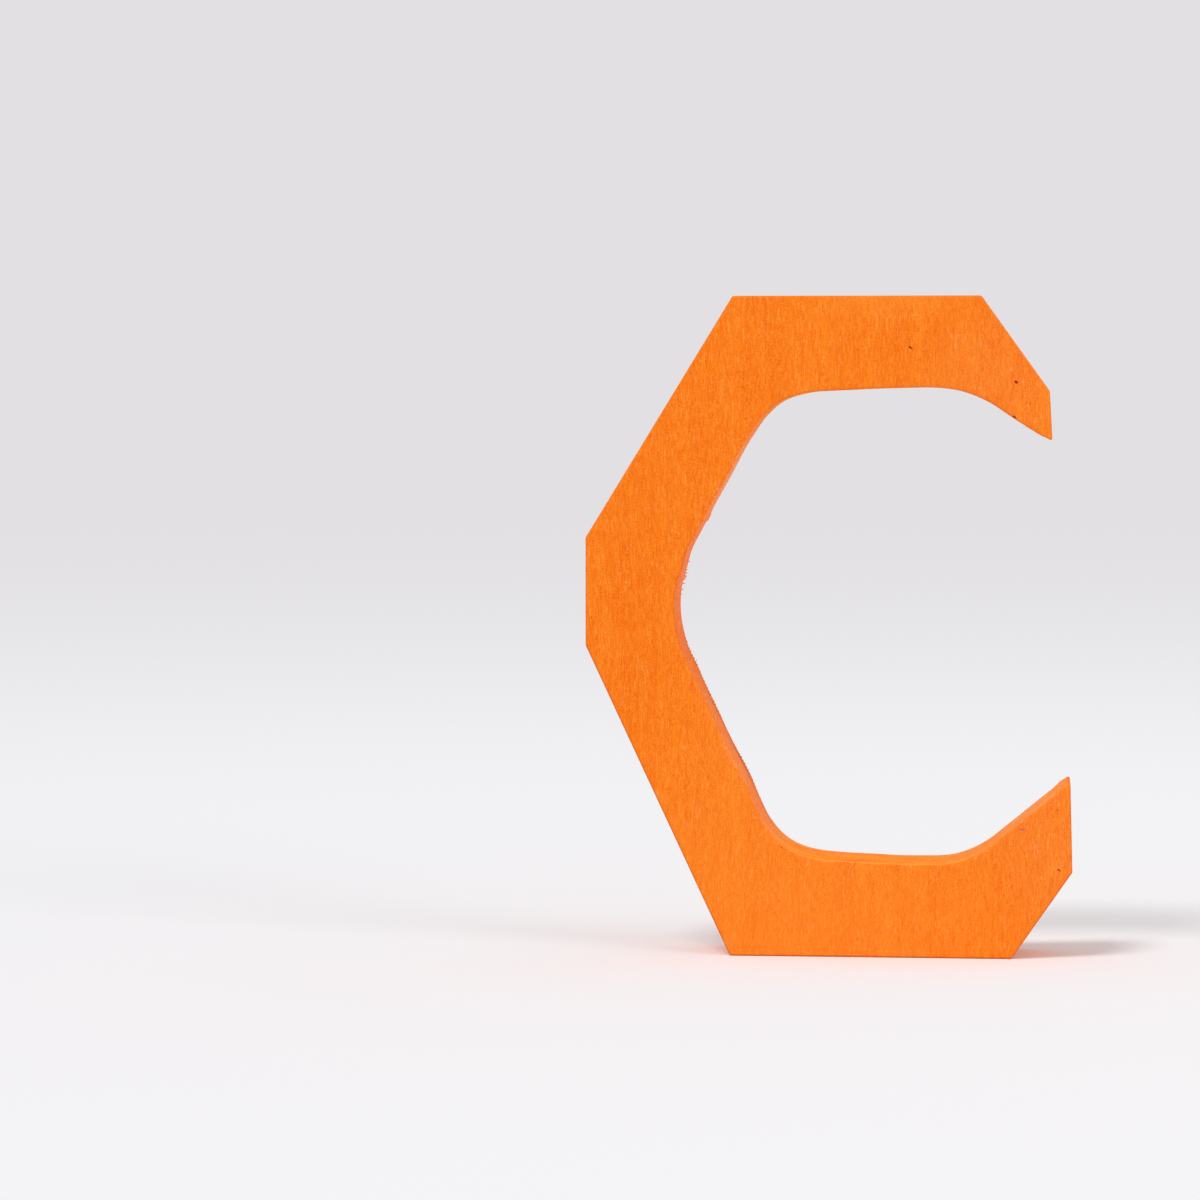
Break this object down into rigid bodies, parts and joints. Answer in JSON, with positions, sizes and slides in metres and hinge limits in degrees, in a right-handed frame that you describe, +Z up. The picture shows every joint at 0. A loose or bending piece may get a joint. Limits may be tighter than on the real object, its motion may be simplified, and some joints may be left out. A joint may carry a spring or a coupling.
{
  "type": "wooden letter",
  "caption": "Free-standing wooden letter C sawn from a stained board, straight cut outside, with a curved inner saw line, blunt arm ends and eased edges; it stands on its flat base.",
  "frame": {"origin": "middle of the base, on the surface that the letter stands on", "axes": "+Z up along the letter's height, +X to the reader's right, so that the letter opens towards +X, and -Y out of the front face"},
  "size_m": [0.0811, 0.014, 0.11],
  "materials": {
    "stained_wood": "orange stain with a matt wax"
  },
  "bodies": {
    "root": {"letter_c": "stained_wood"}
  },
  "joints": []
}
